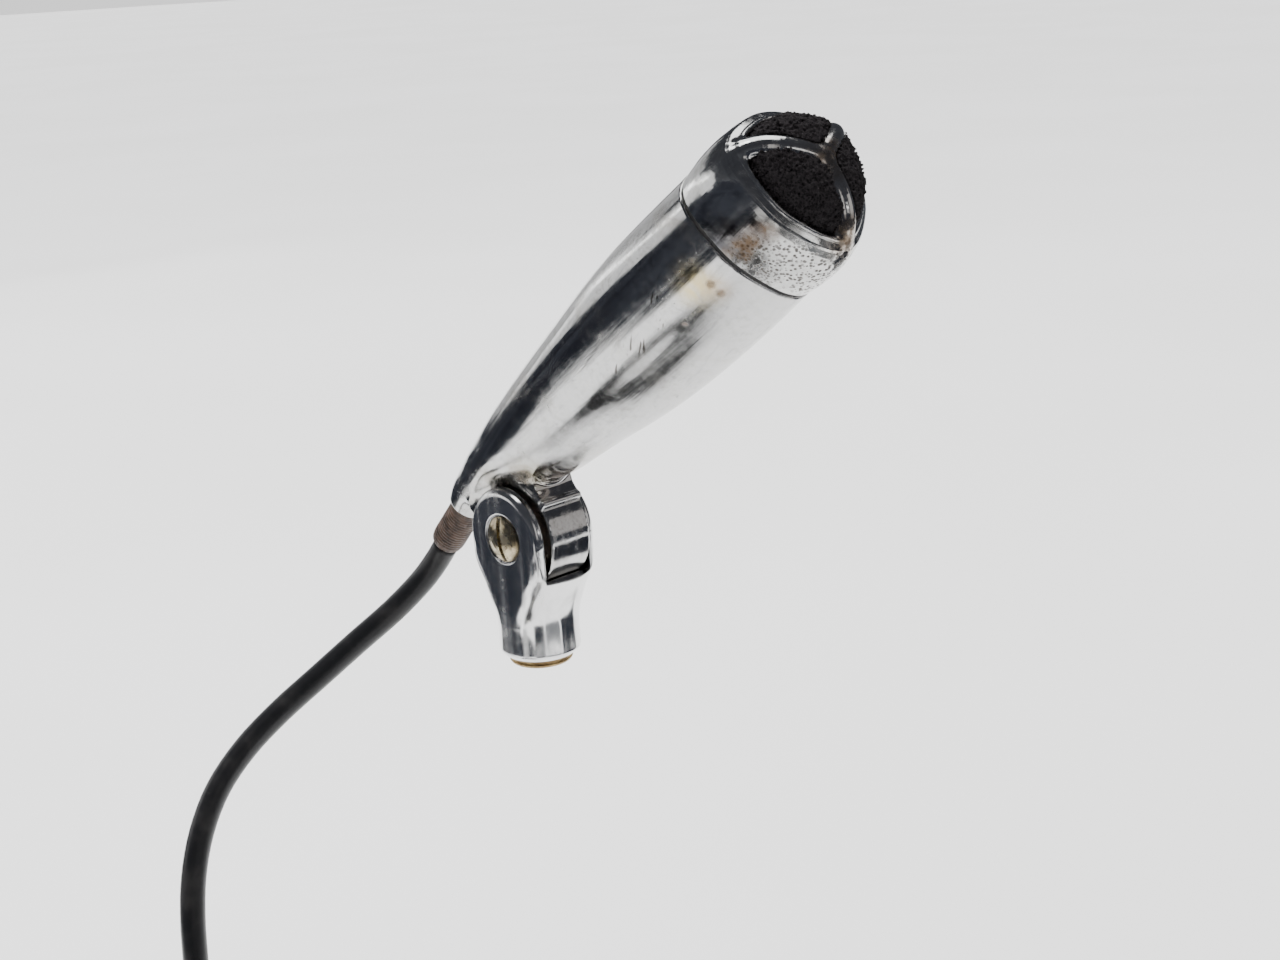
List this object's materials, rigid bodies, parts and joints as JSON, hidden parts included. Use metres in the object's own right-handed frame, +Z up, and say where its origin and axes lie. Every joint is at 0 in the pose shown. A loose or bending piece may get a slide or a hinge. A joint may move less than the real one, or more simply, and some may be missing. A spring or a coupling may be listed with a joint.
{
  "type": "desk and stand microphone",
  "caption": "Slim polished microphone with a domed three-window grille, a forked swivel with a threaded stand socket, and an attached cord ending in a phone plug.",
  "frame": {"origin": "mouth of the threaded stand socket, on the stand's axis", "axes": "+Z up along the stand's axis, +X towards the microphone's head, the swivel pin along Y"},
  "size_m": [0.1747, 0.1686, 0.2616],
  "materials": {
    "swivel_chrome": "polished, lightly tarnished",
    "body_chrome": "polished, fine scratches",
    "grille_chrome": "polished, worn and pitted",
    "screw_nickel": "dull nickel plate",
    "adapter_brass": "dark tarnished",
    "fibre": "matt fibre",
    "gasket_rubber": "matt",
    "foam": "open-cell foam, grainy",
    "gland_brown": "browned metal, matt",
    "cord_rubber": "satin rubber jacket",
    "plated_steel": "zinc plated",
    "lead_sleeve": "coloured sleeving",
    "board_phenolic": "brown laminate",
    "contact_brass": "bright",
    "lamination_steel": "stacked sheet",
    "copper_winding": "enamelled wire",
    "magnet_alloy": "ground",
    "felt": "felt",
    "diaphragm_film": "thin film",
    "tie_black": "matt band",
    "plug_black": "moulded",
    "plug_nickel": "nickel plate"
  },
  "bodies": {
    "stand_side": {"clevis": "swivel_chrome", "thread_adapter": "adapter_brass", "pivot_screw": "screw_nickel", "pivot_nut": "screw_nickel", "washer_near": "fibre", "washer_far": "fibre", "cord_drop": "cord_rubber", "cord_coil": "cord_rubber", "coil_tie": "tie_black", "cord_tail": "cord_rubber", "plug_handle": "plug_black", "plug_collar": "plug_nickel", "plug_sleeve": "plug_nickel", "plug_insulator": "plug_black", "plug_tip": "plug_nickel"},
    "microphone": {"body_shell": "body_chrome", "seam_gasket": "gasket_rubber", "grille_ring": "grille_chrome", "foam_screen": "foam", "cable_gland": "gland_brown", "cord_inner": "cord_rubber", "crimp_ring": "plated_steel", "inner_leads": "lead_sleeve", "terminal_board": "board_phenolic", "solder_lugs": "contact_brass", "chassis_strip": "plated_steel", "transformer_core": "lamination_steel", "transformer_coil": "copper_winding", "transformer_leads": "lead_sleeve", "pot_screw": "plated_steel", "magnet_pot": "plated_steel", "magnet": "magnet_alloy", "pole_piece": "plated_steel", "top_plate": "plated_steel", "spacer_ring": "board_phenolic", "resonator_cap": "plated_steel", "damping_felt": "felt", "rubber_mount": "gasket_rubber", "cord_lead": "cord_rubber"},
    "moving_element": {"voice_coil": "copper_winding", "diaphragm": "diaphragm_film"}
  },
  "joints": [
    {"name": "tilt", "type": "hinge", "parent": "stand_side", "child": "microphone", "pos_m": [0, 0, 0.033], "axis": [0, -1, 0], "range_deg": [-68, 38]},
    {"name": "diaphragm_travel", "type": "slide", "parent": "microphone", "child": "moving_element", "axis": [0.7934, 0, 0.6088], "range_m": [-0.0003, 0.0003], "stiffness_N_per_m": 400}
  ]
}
